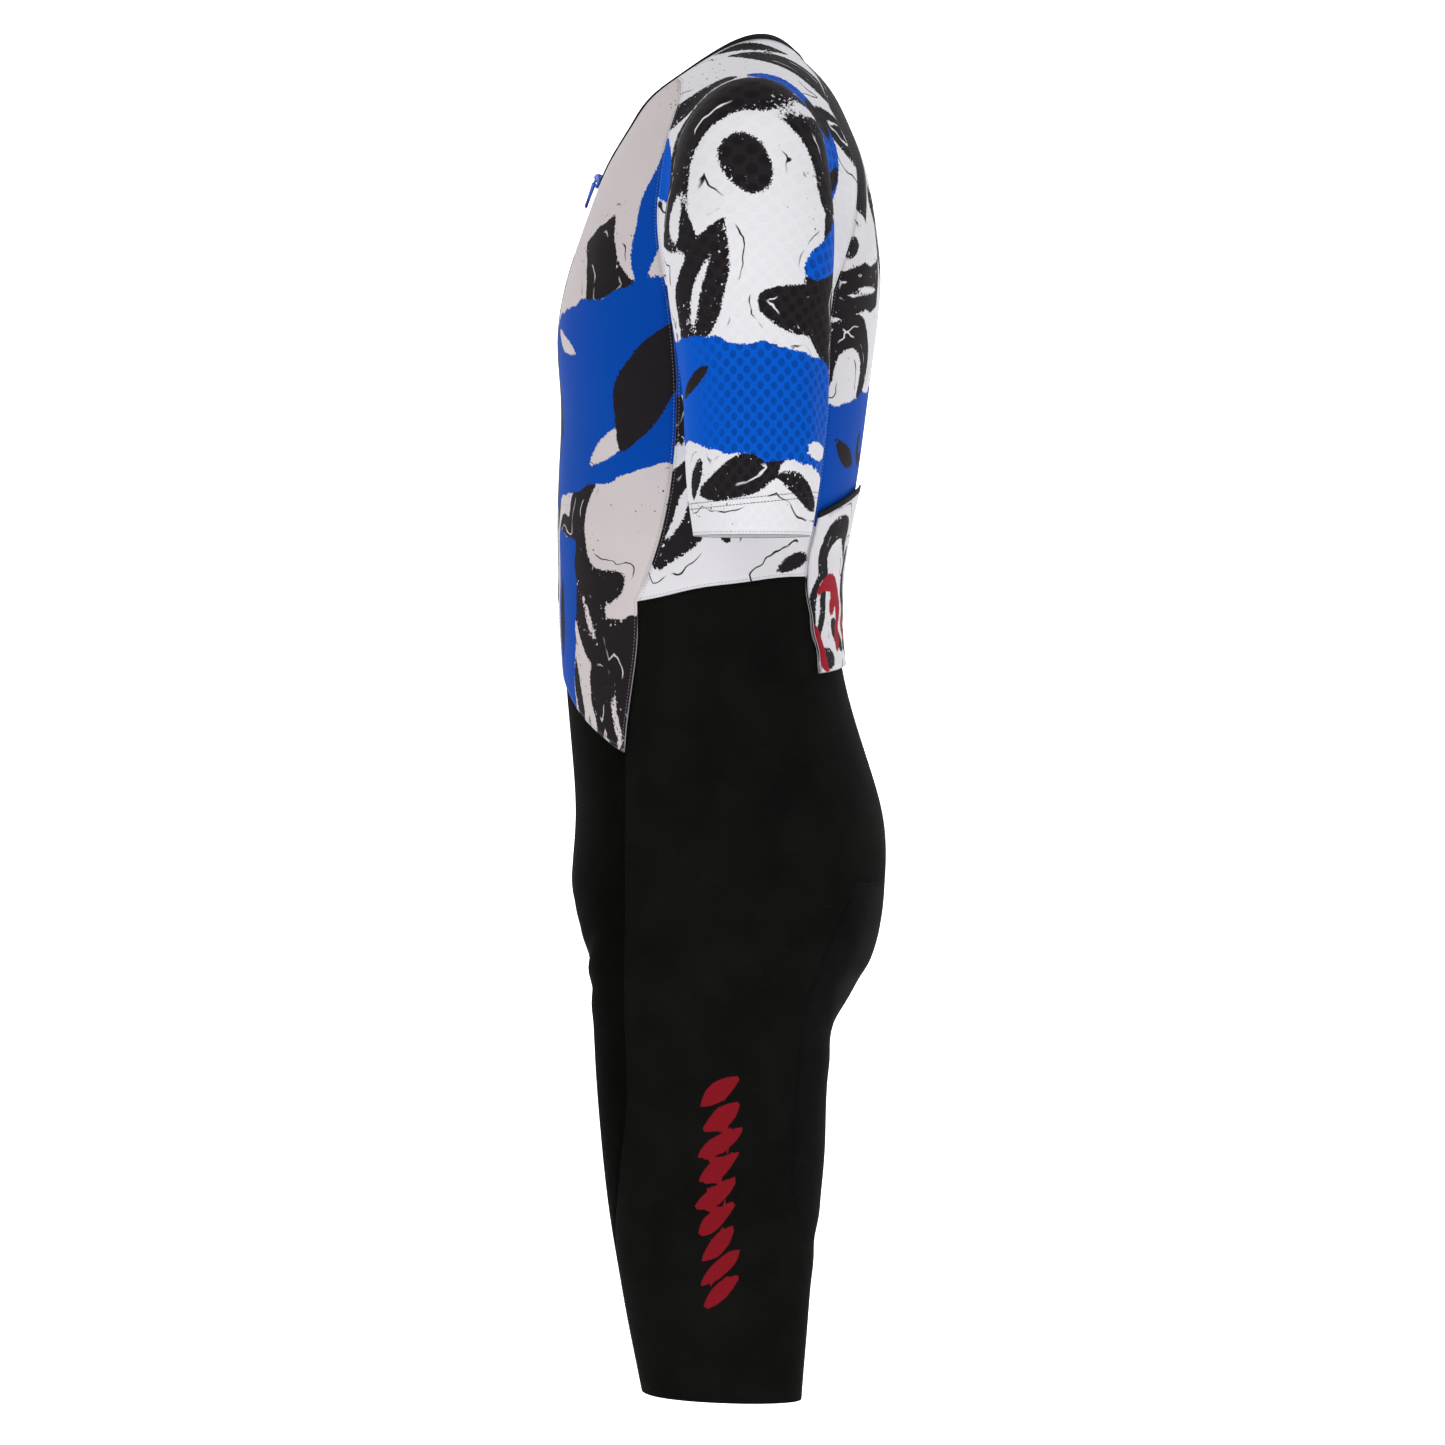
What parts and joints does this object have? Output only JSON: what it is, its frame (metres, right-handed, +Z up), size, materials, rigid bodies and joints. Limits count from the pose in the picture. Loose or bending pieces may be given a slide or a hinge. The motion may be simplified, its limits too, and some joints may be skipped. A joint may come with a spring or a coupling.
{
  "type": "cycling skinsuit",
  "caption": "Short-sleeved one-piece cycling skinsuit, filled out with no wearer, with a front zip, raglan sleeves, back pockets and fitted shorts",
  "frame": {"origin": "between the shoulders, inside the empty suit, where a wearer would carry it", "axes": "+Z up to the neck, -Y the front with the zip, +X the wearer's left"},
  "size_m": [0.5926, 0.2488, 1.0181],
  "materials": {
    "grey_print": "printed matt stretch knit",
    "white_print": "printed stretch knit",
    "pocket_print": "printed stretch knit",
    "elastic": "stretch binding",
    "black_knit": "matt compressive knit",
    "seat_weave": "hard-wearing satin weave",
    "zip_tape": "woven tape",
    "zip_chain": "moulded coil",
    "blue_plastic": "lacquered"
  },
  "bodies": {
    "garment": {"front_left": "grey_print", "front_right": "grey_print", "side_left": "white_print", "side_right": "white_print", "back": "white_print", "sleeve_left": "white_print", "sleeve_right": "white_print", "pocket_left": "pocket_print", "pocket_centre": "pocket_print", "pocket_right": "pocket_print", "pocket_edge_left": "elastic", "pocket_edge_centre": "elastic", "pocket_edge_right": "elastic", "neck_binding": "elastic", "shorts_side_left": "black_knit", "shorts_side_right": "black_knit", "shorts_inner_left": "black_knit", "shorts_inner_right": "black_knit", "shorts_centre": "black_knit", "seat_left": "seat_weave", "seat_right": "seat_weave", "zip_tape_left": "zip_tape", "zip_tape_right": "zip_tape", "zip_chain": "zip_chain", "zip_slider": "blue_plastic"},
    "zip_pull": {"zip_pull": "blue_plastic"}
  },
  "joints": [
    {"name": "zip_pull_hinge", "type": "hinge", "parent": "garment", "child": "zip_pull", "pos_m": [0, -0.10904, -0.05851], "axis": [-1, 0, 0], "range_deg": [0, 150]}
  ]
}
